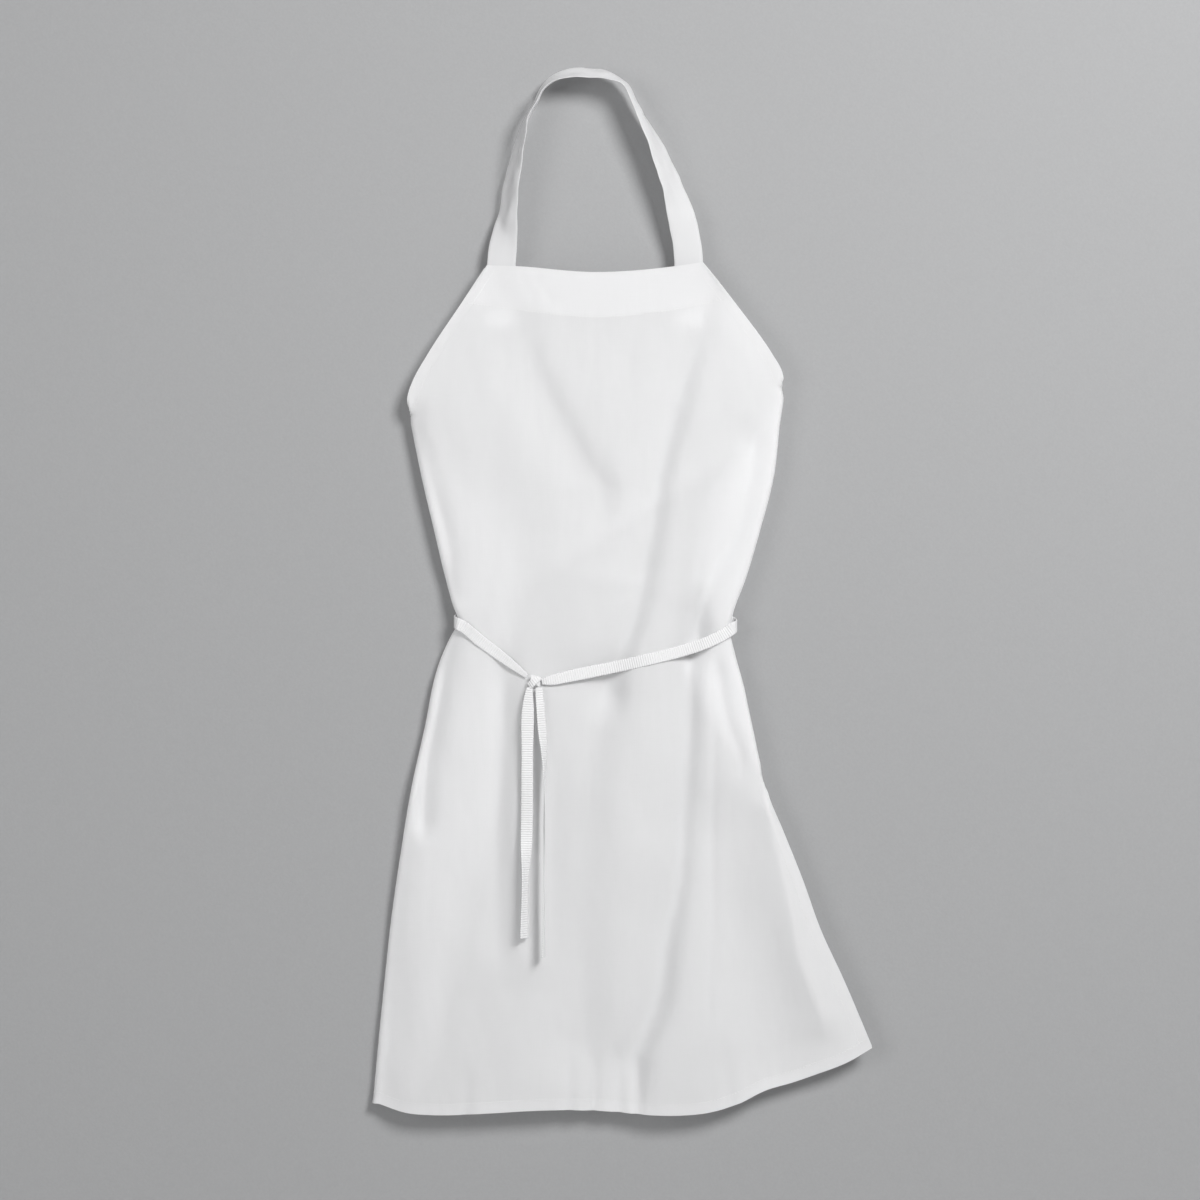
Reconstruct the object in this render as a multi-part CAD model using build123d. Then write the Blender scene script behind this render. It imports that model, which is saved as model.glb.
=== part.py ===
from build123d import *
import math
import os

# Bib apron hanging from its neck loop: one draped cloth with turned hems, a neck strap and two ribbon ties.
# +Z is up, +X is to the right seen from the front, and the front faces -Y. Millimetres.
# The origin is the hang point, the place inside the top of the neck loop that a peg or hook carries.

# Driving dimensions of the cloth, the strap and the ribbon
PANEL_T = 2.0  # the draped body cloth, as a solid
HEM_T = 1.2  # a turned hem or the facing, lying behind the cloth
SEWN_GAP = 0.15  # air between two sewn layers
FREE_GAP = 0.3  # air between a ribbon and what it lies on
HEM_W = 11.0
FACING_W = 45.0
STRAP_W, STRAP_T = 28.0, 2.0
STRAP_END = 62.0  # how much of the strap lies behind the bib; it ends a little below the facing
RIBBON_W, RIBBON_T = 12.0, 1.0
TACK_W, TACK_H, TACK_T = 20.0, 12.0, 0.8
TAIL_Y = -12.5  # the tails hang clear of every ridge of the skirt that they can sway over
KNOT = (-54.5, -602.5)  # x and z of the knot's middle
KNOT_R = (5.5, 4.5, 5.5)

# Heights of the two places where the cloth folds
SEAM_Z = -185.5  # the strap meets the bib
STRAP_BOTTOM, STRAP_END_TOP = -183.5, -188.0
WAIST_FOLD_Z = -612.0  # the skirt folds up along this line, just under the knot
FOLD_GAP = 3.0

# The silhouette seen from the front, as (z, x). Below each armhole the cloth rolls back along it.
LEFT_SIDE = [(-180, -99), (-187, -103), (-302, -177), (-327, -183), (-352, -179), (-452, -157), (-544, -131),
             (-577, -150), (-652, -167), (-742, -185), (-832, -199), (-922, -209), (-1012, -217), (-1045, -219)]
RIGHT_SIDE = [(-180, 109), (-187, 113), (-302, 194), (-352, 190), (-402, 184), (-452, 171), (-552, 140),
              (-602, 153), (-677, 169), (-712, 178), (-772, 202), (-832, 224), (-922, 263), (-970, 283), (-1045, 283)]
# Where the free side edges lie behind, as (z, x)
LEFT_FLAP = [(-327, -176), (-460, -62), (-612, -72), (-1045, -160)]
RIGHT_FLAP = [(-302, 187), (-502, 103), (-612, 110), (-702, 172)]
ROLL_MIN_R, ROLL_R = 3.4, 7.5  # of the rolled edges, at the armhole and below
ROLL_GROWS_IN = 60.0
LEFT_ROLL_TOP, RIGHT_ROLL_TOP, RIGHT_ROLL_END = -327.0, -302.0, -702.0

# The top edge and the bottom edge seen from the front, as (x, z)
TOP_EDGE = [(-125, -187), (-103, -187), (5, -194), (113, -185), (135, -184)]
BOTTOM_EDGE = [(-240, -1017), (-218, -1026), (-190, -1035), (-50, -1032), (60, -1037), (118, -1034), (174, -1013),
               (230, -995), (300, -966)]

# Folds of the hanging cloth: depth, half width, and valley line as (z, x). A negative depth is a ridge.
FOLDS = [
    (7.0, 15.0, [(-215, -72), (-302, -32), (-412, 18), (-470, 40)]),
    (8.0, 16.0, [(-240, 124), (-332, 92), (-422, 66), (-502, 54), (-602, 36), (-712, 0), (-880, -10)]),
    (8.0, 12.0, [(-440, 150), (-552, 118), (-642, 110), (-722, 105), (-852, 90), (-972, 58)]),
    (7.0, 9.0, [(-345, -160), (-452, -138), (-530, -118), (-642, -140), (-752, -160)]),
    (8.0, 11.0, [(-590, -80), (-640, -82), (-882, -80)]),
    (-5.0, 30.0, [(-640, -118), (-800, -130), (-1040, -150)]),
    (-5.0, 34.0, [(-700, 60), (-850, 40), (-1040, 20)]),
    (-5.0, 26.0, [(-660, 150), (-850, 170), (-1040, 200)]),
]
FLAP_WAVE = 2.0  # how far a flap's back may wave beyond the rolled edges
BULGE = 5.0  # how far the middle of the cloth stands forward of its sides
FRONT_POINTS, ROLL_POINTS, FLAP_POINTS = 31, 4, 1

# Levels of the cloth: from the top edge to the right armhole corner, to the left one, and on down
CORNER_LEVELS = [-180, -215, -250, -275, -302]
LEFT_CORNER_LEVELS = [-302, -314, -327]
BIB_LEVELS = [-327, -345, -365, -400, -440, -480, -520, -544, -580, WAIST_FOLD_Z + FOLD_GAP / 2]
SKIRT_LEVELS = [WAIST_FOLD_Z - FOLD_GAP / 2, -640, -670, -702]
OPEN_SKIRT_LEVELS = [-702, -740, -800, -860, -920, -980, -1045]

HEM_NEAR = PANEL_T / 2 + SEWN_GAP
HEM_FAR = HEM_NEAR + HEM_T
SECOND_NEAR = HEM_FAR + SEWN_GAP
SECOND_FAR = SECOND_NEAR + HEM_T
STRAP_Y = SECOND_FAR + SEWN_GAP + STRAP_T / 2  # the strap's end lies behind the facing and the hem


def along(line, value):
    """Straight-line interpolation in a list of (key, value) with falling keys."""
    if value >= line[0][0]:
        return line[0][1]
    for (k0, v0), (k1, v1) in zip(line, line[1:]):
        if value >= k1:
            return v0 + (v1 - v0) * (k0 - value) / (k0 - k1)
    return line[-1][1]


def smooth(t):
    """Smooth step from 0 to 1."""
    t = min(1.0, max(0.0, t))
    return t * t * (3 - 2 * t)


def front_y(x, z):
    """Depth of the middle of the front cloth at a place seen from the front."""
    left, right = along(LEFT_SIDE, z), along(RIGHT_SIDE, z)
    s = 2 * (x - left) / (right - left) - 1
    hang = smooth((SEAM_Z - z) / 160)  # the sewn top edge is straight
    y = -BULGE * hang * (1 - s * s)
    for depth, half_width, valley in FOLDS:
        ends = smooth((valley[0][0] + 40 - z) / 60) * smooth((z - valley[-1][0] + 60) / 80)
        side = smooth((1 - abs(s)) / 0.12)
        y += hang * ends * side * depth * math.exp(-((x - along(valley, z)) / half_width) ** 2)
    return y


def in_front(x, z, reach=12):
    """Depth just in front of the cloth near a place, so that a ribbon spans the folds."""
    near = (-reach, 0, reach)
    return min(front_y(x + dx, z + dz) for dx in near for dz in near) - PANEL_T / 2 - FREE_GAP


def roll_radius(below):
    return ROLL_MIN_R + (ROLL_R - ROLL_MIN_R) * smooth(below / ROLL_GROWS_IN)


def level_line(z, rolls):
    """Middle of the cloth at one height, from its left edge round the front to its right edge.

    rolls names the sides, "L" and "R", where the cloth goes on behind as a flap.
    """
    left, right = along(LEFT_SIDE, z), along(RIGHT_SIDE, z)
    r_left = roll_radius(LEFT_ROLL_TOP - z) if "L" in rolls else 0.0
    r_right = min(roll_radius(RIGHT_ROLL_TOP - z), roll_radius(z - RIGHT_ROLL_END)) if "R" in rolls else 0.0
    a, b = left + r_left, right - r_right
    steps = [i / (FRONT_POINTS - 1) for i in range(FRONT_POINTS)]
    line = [(a + (b - a) * t, front_y(a + (b - a) * t, z)) for t in steps]
    if "L" in rolls:
        line = rolled_edge(a, line[0][1], r_left, along(LEFT_FLAP, z), -1)[::-1] + line
    if "R" in rolls:
        line = line + rolled_edge(b, line[-1][1], r_right, along(RIGHT_FLAP, z), 1)
    return line


def rolled_edge(x, y, r, flap_x, side):
    """The half turn from the front cloth to the back, and the flap that follows it."""
    turn = [-math.pi / 2 + math.pi * i / ROLL_POINTS for i in range(1, ROLL_POINTS + 1)]
    line = [(x + side * r * math.cos(t), y + r + r * math.sin(t)) for t in turn]
    line += [(x + (flap_x - x) * i / FLAP_POINTS, y + 2 * r) for i in range(1, FLAP_POINTS + 1)]
    return line


def shifted(line, distance):
    """The line moved to its inner side, which is behind the front cloth and inside the rolled edges."""
    out = []
    for i, (x, y) in enumerate(line):
        p, q = line[max(i - 1, 0)], line[min(i + 1, len(line) - 1)]
        length = math.dist(p, q)
        out.append((x - (q[1] - p[1]) / length * distance, y + (q[0] - p[0]) / length * distance))
    return out


def cloth(levels, rolls, near, far):
    """A closed sheet between two distances behind the middle of the cloth, through the given levels."""
    rings = []
    for z in levels:
        line = level_line(z, rolls)
        corners = [(x, y, z) for x, y in shifted(line, near) + shifted(line, far)[::-1]]
        rings.append([Edge.make_line(p, q) for p, q in zip(corners, corners[1:] + corners[:1])])
    faces = [make_face(rings[0]).face(), make_face(rings[-1]).face()]
    for upper, lower in zip(rings, rings[1:]):
        faces += [Face.make_surface_from_curves(e, f) for e, f in zip(upper, lower)]
    return Part() + Solid(Shell(faces))


def through(points, count=25):
    """Evenly spaced points of a smooth curve through (x, z) points."""
    curve = Spline(*[(x, 0, z) for x, z in points])
    places = [curve.position_at(i / (count - 1)) for i in range(count)]
    return [(p.X, p.Z) for p in places]


def front_block(outline, y0=-40.0, y1=40.0):
    """A straight block along Y with the given (x, z) outline."""
    face = make_face(Polyline(*[(x, y0, z) for x, z in outline], close=True))
    return extrude(face, amount=y1 - y0, dir=(0, 1, 0))


def band(edge, dx, dz, y0=-40.0, y1=40.0):
    """The block between an edge line and the same line moved by dx, dz."""
    return front_block(edge + [(x + dx, z + dz) for x, z in reversed(edge)], y0, y1)


def side_points(side, z_top, z_bottom, shift=0.0):
    """(x, z) points of a side line between two heights."""
    inner = [z for z, _ in side if z_bottom < z < z_top]
    return [(along(side, z) + shift, z) for z in [z_top] + inner + [z_bottom]]


def strip(stations, thickness):
    """A flat strap through stations of (point, direction across, width)."""
    points = [Vector(*p) for p, _, _ in stations]
    faces = []
    for i, (p, (_, across, width)) in enumerate(zip(points, stations)):
        tangent = (points[min(i + 1, len(points) - 1)] - points[max(i - 1, 0)]).normalized()
        across = Vector(*across)
        across = (across - tangent * across.dot(tangent)).normalized() * (width / 2)
        normal = tangent.cross(across).normalized() * (thickness / 2)
        corners = [p + across + normal, p + across - normal, p - across - normal, p - across + normal]
        faces.append(make_face(Polyline(*corners, close=True)))
    return loft(faces, ruled=True)


def plate(x, z, y, width, height, thickness):
    """A thin sewn piece that lies flat, with its front face at y."""
    return Pos(x, y + thickness / 2, z) * Box(width, thickness, height)


def neck_strap():
    """The loop: face-on at its two ends, turned almost edge-on at the shoulders, half turned over the top."""
    route = [  # x, z, and how far the strap has turned out of the front plane in degrees
        (-89, STRAP_BOTTOM, 0), (-88, -176, 5), (-83, -139, 43), (-77, -96, 55), (-71, -72, 63), (-62, -38, 80),
        (-54, -24, 84), (-47, -11, 80), (-36, 0, 72), (-20, 5, 66), (2, 6, 65), (22, 2, 70), (34, -5, 80),
        (47, -28, 76), (59, -52, 64), (69, -74, 52), (83, -111, 38), (92, -141, 16), (98, -172, 3),
        (99, STRAP_BOTTOM, 0)]
    count = len(route)
    stations = []
    for i, (x, z, turn) in enumerate(route):
        (x0, z0, _), (x1, z1, _) = route[max(i - 1, 0)], route[min(i + 1, count - 1)]
        length = math.hypot(x1 - x0, z1 - z0)
        outward = (-(z1 - z0) / length, (x1 - x0) / length)
        if i in (0, count - 1):
            outward = (math.copysign(1.0, x), 0.0)
        c, s = math.cos(math.radians(turn)), math.sin(math.radians(turn))
        rise = smooth(min(i, count - 1 - i) / 5)
        stations.append(((x, STRAP_Y * (1 - rise), z), (outward[0] * c, s, outward[1] * c), STRAP_W))
    return strip(stations, STRAP_T) - Pos(0, 0, STRAP_BOTTOM - 20) * Box(400, 80, 40)


def cloth_pieces():
    """The body cloth in two parts that meet at the waist fold, with its hems and facing."""
    half = PANEL_T / 2
    top = through(TOP_EDGE)
    bottom = through(BOTTOM_EDGE, 33)

    bib = cloth(CORNER_LEVELS, "", -half, half) + cloth(LEFT_CORNER_LEVELS, "R", -half, half)
    bib += cloth(BIB_LEVELS, "LR", -half, half)
    save(bib - front_block(top + [(135, -150), (-125, -150)]), "bib_panel")

    skirt = cloth(SKIRT_LEVELS, "LR", -half, half) + cloth(OPEN_SKIRT_LEVELS, "L", -half, half)
    save(skirt - front_block(bottom + [(300, -1060), (-240, -1060)]), "skirt_panel")

    facing = cloth(CORNER_LEVELS, "", HEM_NEAR, HEM_FAR)
    save(facing & band(top, 0, -FACING_W), "bib_facing")

    second = cloth(CORNER_LEVELS, "", SECOND_NEAR, SECOND_FAR)
    save(second & band(side_points(LEFT_SIDE, -192, -302), HEM_W * 1.2, 0), "armhole_hem_left")
    save(second & band(side_points(RIGHT_SIDE, -192, -302), -HEM_W * 1.2, 0), "armhole_hem_right")

    side = cloth(BIB_LEVELS, "LR", HEM_NEAR, HEM_FAR)
    behind = 2 * ROLL_R - HEM_FAR - 0.5
    save(side & band(side_points(LEFT_FLAP, -395, -609), -HEM_W, 0, behind), "bib_side_hem_left")
    save(side & band(side_points(RIGHT_FLAP, -365, -609), HEM_W, 0, behind), "bib_side_hem_right")

    low = cloth(OPEN_SKIRT_LEVELS, "L", HEM_NEAR, HEM_FAR)
    save(low & band(bottom, 0, HEM_W), "bottom_hem")
    over_hem = front_block([(x, z + HEM_W + 0.5) for x, z in bottom] + [(300, -700), (-240, -700)])
    save(low & band(side_points(RIGHT_SIDE, -712, -1045), -HEM_W, 0) & over_hem, "skirt_side_hem_right")
    left_flap_hem = low & band(side_points(LEFT_FLAP, -704, -1045), -HEM_W, 0, behind) & over_hem
    save(left_flap_hem, "skirt_side_hem_left")


def strap_ends():
    """The ends of the strap, which lie behind the facing, and the stitching that holds them."""
    for name, x in (("left", -89), ("right", 99)):
        y = STRAP_Y - STRAP_T / 2
        save(plate(x, STRAP_END_TOP - STRAP_END / 2, y, STRAP_W, STRAP_END, STRAP_T), "strap_end_" + name)
        tack_y = y + STRAP_T + SEWN_GAP
        save(plate(x, STRAP_END_TOP - STRAP_END / 2, tack_y, TACK_W, TACK_H, TACK_T), "strap_tack_" + name)


def waist_tie(corner, back, edge, front, back_y):
    """A ribbon sewn to an armhole corner that runs behind the cloth, round a side at the waist, to the knot."""
    up = (0, 0, 1)
    half = RIBBON_T / 2
    stations = [((x, back_y, z), up, RIBBON_W) for x, z in [corner] + back]
    x, z, side = edge
    r = (back_y + PANEL_T / 2 + FREE_GAP + half) / 2
    for i in range(7):
        t = math.pi / 2 - math.pi * i / 6
        bulge = 3.2 + half
        place = (x + side * bulge * math.cos(t), back_y - r + r * math.sin(t), z - 0.8 * i)
        stations.append((place, up, RIBBON_W))
    for x, z, width in front:
        stations.append(((x, in_front(x, z) - half, z), up, width))
    return strip(stations, RIBBON_T)


def ties():
    """The two sewn ribbons, their tacks and the knot at the front."""
    flap_back = 2 * ROLL_R + PANEL_T / 2 + FLAP_WAVE
    inner_y = flap_back + FREE_GAP + RIBBON_T / 2
    outer_y = inner_y + RIBBON_T + FREE_GAP
    left = waist_tie((-76, -456), [(-62, -463), (-30, -485), (10, -497), (60, -506), (105, -528), (132, -541)],
                     (143.5, -545, 1), [(134, -556, 12), (110, -570, 12), (88, -578, 12), (66, -584, 12), (20, -592, 12),
                                      (-20, -599, 12), (-40, -602, 8), (-48, -603, 5)], inner_y)
    right = waist_tie((166, -352), [(150, -364), (100, -402), (50, -432), (0, -462), (-50, -494), (-100, -526)],
                      (-132.5, -541, -1), [(-124, -548, 12), (-105, -562, 12), (-84, -580, 8), (-70, -592, 5),
                                         (-61, -599, 4)], outer_y)
    save(left, "waist_tie_left")
    save(right, "waist_tie_right")
    save(plate(-75, -457, inner_y + RIBBON_T / 2 + SEWN_GAP, 12, 8, TACK_T), "tie_tack_left")
    save(plate(165, -353, outer_y + RIBBON_T / 2 + SEWN_GAP, 12, 8, TACK_T), "tie_tack_right")
    x, z = KNOT
    y = in_front(x, z) - KNOT_R[1]
    save(Pos(x, y, z) * scale(Sphere(1), by=KNOT_R), "knot")


def tails():
    """The two free ribbon ends that hang from the knot over the skirt."""
    face_on, edge_on = (1, 0, 0), (0, 1, 0)
    y = TAIL_Y
    left = [((-60, y, -609), face_on, 6), ((-62, y, -622), face_on, 10.5), ((-62.5, y, -680), face_on, 12),
            ((-63, y, -765), face_on, 12), ((-64.5, y - 2, -800), (0.6, 0.8, 0), 12),
            ((-65.5, y - 2, -859), (0.6, 0.8, 0), 12)]
    deep = y - RIBBON_W / 2 + RIBBON_T / 2
    right = [((-51, y, -609), face_on, 7), ((-49.5, y, -625), face_on, 9), ((-47.5, y, -652), face_on, 10),
             ((-45.5, y - 3, -672), (0.7, 0.7, 0), 12), ((-45, deep, -700), edge_on, 12),
             ((-45.5, deep, -807), edge_on, 12), ((-46, deep, -877), (0.3, 0.95, 0), 12)]
    save(strip(left, RIBBON_T), "tail_left")
    save(strip(right, RIBBON_T), "tail_right")


def save(shape, name):
    os.makedirs("parts", exist_ok=True)
    export_step(shape, os.path.join("parts", name + ".step"))


save(neck_strap(), "neck_strap")
cloth_pieces()
strap_ends()
ties()
tails()
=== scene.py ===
import math

import bpy
import numpy as np
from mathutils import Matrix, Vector, noise


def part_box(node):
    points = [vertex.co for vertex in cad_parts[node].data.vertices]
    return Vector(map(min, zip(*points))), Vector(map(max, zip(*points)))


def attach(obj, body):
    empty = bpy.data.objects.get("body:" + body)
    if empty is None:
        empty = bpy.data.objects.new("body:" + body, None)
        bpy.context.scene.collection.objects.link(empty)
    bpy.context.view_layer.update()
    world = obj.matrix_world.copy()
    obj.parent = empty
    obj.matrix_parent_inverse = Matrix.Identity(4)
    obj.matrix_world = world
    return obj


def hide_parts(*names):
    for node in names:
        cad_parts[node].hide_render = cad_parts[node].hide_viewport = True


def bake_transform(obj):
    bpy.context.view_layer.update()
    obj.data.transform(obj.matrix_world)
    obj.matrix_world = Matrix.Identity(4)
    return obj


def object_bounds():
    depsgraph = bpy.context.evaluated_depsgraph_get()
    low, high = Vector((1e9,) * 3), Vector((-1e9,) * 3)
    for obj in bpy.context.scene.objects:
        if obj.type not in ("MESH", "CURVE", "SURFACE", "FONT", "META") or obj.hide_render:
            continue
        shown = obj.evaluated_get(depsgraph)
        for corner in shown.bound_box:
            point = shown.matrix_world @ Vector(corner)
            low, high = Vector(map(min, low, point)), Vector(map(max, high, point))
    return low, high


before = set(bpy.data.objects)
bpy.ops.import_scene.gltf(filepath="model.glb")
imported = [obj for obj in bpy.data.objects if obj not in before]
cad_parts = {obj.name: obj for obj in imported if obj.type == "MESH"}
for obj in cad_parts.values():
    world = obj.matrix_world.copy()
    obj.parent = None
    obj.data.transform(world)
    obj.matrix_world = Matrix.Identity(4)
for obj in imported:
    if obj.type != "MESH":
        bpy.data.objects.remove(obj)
CAD_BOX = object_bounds()

# Everything is in metres, in the frame of the CAD part: +Z up, the front faces -Y,
# and the origin is the hang point.
MM = 0.001

# Places taken from the frame
KNOT_LOW, KNOT_HIGH = (np.array(corner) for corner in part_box("knot"))
KNOT_MIDDLE = (KNOT_LOW + KNOT_HIGH) / 2

# Cloth and ribbon
HEM_W = 11 * MM
FACING_W = 45 * MM
ROLL_R = 6.0 * MM  # radius of the turn at a side edge
FLAP_GAP = 2.5 * MM  # between the front cloth and a flap behind it
STRAP_W, STRAP_T, STRAP_STEP = 28 * MM, 1.5 * MM, 2.2 * MM
RIBBON_W, RIBBON_T = 12 * MM, 0.5 * MM
RIB_PITCH = 2.35 * MM
RIBBON_SPAN = 10 * MM  # a ribbon lies on the highest cloth within this distance
RIBBON_GAP = 0.9 * MM  # between its middle and that cloth
STITCH_PITCH, STITCH_L, STITCH_R = 3.2 * MM, 2.3 * MM, 0.22 * MM
STITCH_LIFT = 0.1 * MM  # a stitch's height over the right side of the cloth
FIRST_LAYER = (0.35 * MM, 0.75 * MM)  # a hem's two faces, measured from the middle of the body cloth
SECOND_LAYER = (0.9 * MM, 1.25 * MM)
TAIL_Y = -12.5  # millimetres, as in the CAD part's route

# Where and how the body cloth hangs
BULGE = 4.5 * MM  # how far its middle stands out towards the front
LINE_SHARE = 0.7  # the share of a fold's right slope at which its line runs
SETTLING = 150 * MM  # below the top edge, where it comes to hang free
TOP_SHARE = 0.35  # the share of a fold's depth that is left at the sewn top edge
WRINKLE_SHARE = 0.3  # the same share for the small wrinkles
EDGE_SHARE = 0.03  # the share of half the width in which folds run out at a side
ROLL_GROWTH = 14 * MM  # a flap of this width has the full roll in front of it

# Points of the cloth's grid, and of the lines that it is made from
ROWS, COLUMNS = 250, 216
FRONT_POINTS, TURN_POINTS, FLAP_POINTS = 240, 12, 40
SOFTENING = 3  # times that the grid is evened out


# ---------------------------------------------------------------- curves

def curve(points):
    """A smooth function through (key, value) points given in millimetres. Beyond its ends it stays level."""
    keys, values = np.array(sorted(points), float).T * MM
    slopes = np.gradient(values, keys)

    def at(key):
        k = np.clip(key, keys[0], keys[-1])
        i = np.clip(np.searchsorted(keys, k) - 1, 0, len(keys) - 2)
        h = keys[i + 1] - keys[i]
        t = (k - keys[i]) / h
        left = values[i] * (1 + 2 * t) * (1 - t) ** 2 + slopes[i] * h * t * (1 - t) ** 2
        right = values[i + 1] * (3 - 2 * t) * t ** 2 - slopes[i + 1] * h * (1 - t) * t ** 2
        return left + right

    return at


def smooth(t):
    t = np.clip(t, 0, 1)
    return t * t * (3 - 2 * t)


# The silhouette seen from the front, as (z, x)
LEFT_SIDE = curve([
    (-187, -103), (-227, -130), (-277, -163), (-302, -177), (-318, -182.5), (-330, -183), (-352, -179),
    (-402, -169), (-452, -157), (-502, -145), (-530, -137), (-544, -132), (-556, -139), (-577, -149),
    (-652, -167), (-712, -180), (-772, -190), (-832, -199), (-922, -209), (-1027, -219)])
RIGHT_SIDE = curve([
    (-184, 113), (-227, 147), (-277, 183), (-293, 192), (-303, 194), (-352, 190), (-402, 184), (-452, 171),
    (-502, 156), (-538, 143), (-550, 141), (-577, 146), (-602, 153), (-652, 164), (-702, 175), (-718, 179),
    (-752, 193), (-802, 213), (-852, 231), (-902, 254), (-968, 282)])
# Where the free side edges lie behind, as (z, x)
LEFT_FLAP = curve([
    (-327, -183), (-372, -143), (-427, -90), (-467, -65), (-560, -67), (-612, -71), (-712, -86),
    (-1030, -160)])
RIGHT_FLAP = curve([
    (-302, 194), (-356, 152), (-412, 126), (-452, 110), (-512, 100), (-560, 94), (-610, 98),
    (-650, 125), (-716, 180), (-760, 205), (-860, 245), (-970, 295)])
# The top and bottom edges seen from the front, as (x, z)
TOP_EDGE = curve([(-103, -187), (-75, -188), (5, -194), (86, -188), (113, -184)])
BOTTOM_EDGE = curve([
    (-219, -1027), (-190, -1035), (-162, -1037), (-106, -1035), (-50, -1032), (6, -1033), (62, -1037),
    (90, -1037), (118, -1034), (146, -1026), (174, -1013), (202, -1005), (230, -995), (258, -984),
    (282, -970)])
TOP_X = (-103 * MM, 113 * MM)
BOTTOM_X = (-219 * MM, 282 * MM)
SETTLE_Z = -187 * MM  # the top edge's left corner


class Fold:
    """A fold down the cloth, with a left and a right slope of their own widths. Positive depths go back.

    The line runs down the middle of its right slope, as (z, x).
    """

    def __init__(self, depth, left, right, line, power=2.0, fade=50):
        self.depth, self.left, self.right = depth * MM, left * MM, right * MM
        self.line, self.power, self.fade = curve(line), power, fade * MM
        heights = [z * MM for z, _ in line]
        self.top, self.bottom = max(heights), min(heights)

    def at(self, x, z):
        away = x - self.line(z) + LINE_SHARE * self.right
        width = np.where(away < 0, self.left, self.right)
        below_top = smooth((self.top + self.fade - z) / self.fade)
        above_bottom = smooth((z - self.bottom + self.fade) / self.fade)
        return self.depth * below_top * above_bottom * np.exp(-np.abs(away / width) ** self.power)


FOLDS = [
    # from the bib's top left corner to the middle
    Fold(7, 34, 18, [(-202, -84), (-225, -69), (-260, -57), (-306, -38), (-344, -19), (-383, 4), (-410, 23)],
         2.0, 70),
    # from the top right corner past the knot, then broad into the skirt
    Fold(10, 22, 13, [(-225, 127), (-267, 115), (-310, 100), (-356, 88), (-402, 77), (-448, 71), (-502, 61),
                      (-548, 50), (-579, 38), (-606, 30)]),
    Fold(12, 42, 24, [(-620, 28), (-648, 20), (-710, 7), (-760, 5), (-823, 3), (-885, 5), (-960, 8)],
         2.0, 60),
    # down the right side, deep under the ribbon and broad near the hem
    Fold(6, 18, 13, [(-371, 173), (-448, 158), (-494, 135), (-525, 123), (-560, 115)], 1.8, 40),
    Fold(13, 20, 12, [(-560, 115), (-577, 111), (-656, 107), (-739, 101), (-802, 98), (-864, 86),
                      (-927, 76), (-981, 55)], 1.8, 60),
    Fold(6.5, 50, 30, [(-850, 84), (-927, 70), (-1000, 45)], 2.0, 90),
    # the pleats beside the left edge
    Fold(6, 9, 10, [(-345, -170), (-366, -164), (-420, -148), (-470, -135), (-510, -133)], 1.5, 30),
    Fold(11.5, 6, 12, [(-556, -134), (-627, -145), (-689, -157), (-739, -160)], 1.5, 30),
    Fold(13, 30, 28, [(-760, -186), (-850, -190), (-927, -191), (-1000, -195)], 2.0, 70),
    # under the knot
    Fold(6, 12, 15, [(-614, -76), (-719, -80), (-802, -82), (-850, -82)], 1.8, 60),
    # the swell behind the two tails
    Fold(-4, 24, 34, [(-622, -36), (-760, -37), (-880, -40)], 2.0, 40),
    # the crease to the right hip and the thin one beside it
    Fold(6, 7, 8, [(-602, 136), (-643, 142), (-681, 157)], 1.6, 30),
    Fold(2.4, 4, 4, [(-600, 128), (-656, 128), (-739, 126), (-844, 126), (-918, 122)], 2.0, 40),
    # the hollow and the folded edge low on the right
    Fold(11.5, 45, 40, [(-760, 158), (-802, 165), (-885, 187), (-968, 214)], 2.0, 80),
    Fold(-6.5, 14, 10, [(-731, 186), (-823, 206), (-885, 219), (-939, 240)], 1.4, 30),
    # gathers along the bottom hem
    Fold(2.8, 5, 6, [(-1002, -16), (-1036, -17)], 2.0, 30),
    Fold(3.4, 5, 6, [(-995, 8), (-1036, 7)], 2.0, 30),
    Fold(3.4, 6, 6, [(-990, 32), (-1036, 34)], 2.0, 30),
    Fold(3, 5, 6, [(-1000, 51), (-1036, 52)], 2.0, 30),
    Fold(2, 6, 6, [(-1010, -118), (-1034, -120)], 2.0, 30),
    Fold(2, 7, 7, [(-985, 140), (-1026, 146)], 2.0, 30),
    # small creases on the facing beside the left strap
    Fold(2.2, 4, 5, [(-203, -50), (-222, -36)], 2.0, 10),
    Fold(1.6, 4, 4, [(-200, -66), (-218, -54)], 2.0, 8),
]


def wrinkle(x, z):
    """Small uneven creases, longer down the cloth than across."""
    place = Vector((x * 38, 0, z * 13))
    fine = Vector((x * 110, 3, z * 45))
    return (noise.noise(place) * 1.1 + noise.noise(fine) * 0.28) * MM


def front_y(x, z):
    """Depth of the front cloth at places seen from the front, as arrays."""
    left, right = LEFT_SIDE(z), RIGHT_SIDE(z)
    s = 2 * (x - left) / (right - left) - 1
    hang = smooth((SETTLE_Z - z) / SETTLING)
    y = -BULGE * hang * (1 - s * s)
    edge = smooth((1 - np.abs(s)) / EDGE_SHARE)
    for fold in FOLDS:
        y = y + np.maximum(hang, TOP_SHARE) * edge * fold.at(x, z)
    return y


def in_front(x, z):
    """Depth just in front of the cloth near a place, where a ribbon spans the folds."""
    steps = np.linspace(-RIBBON_SPAN, RIBBON_SPAN, 5)
    dx, dz = np.meshgrid(steps, steps)
    return float(front_y(x + dx, z + dz).min()) - RIBBON_GAP


# ---------------------------------------------------------------- the cloth as a grid of points

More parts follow.
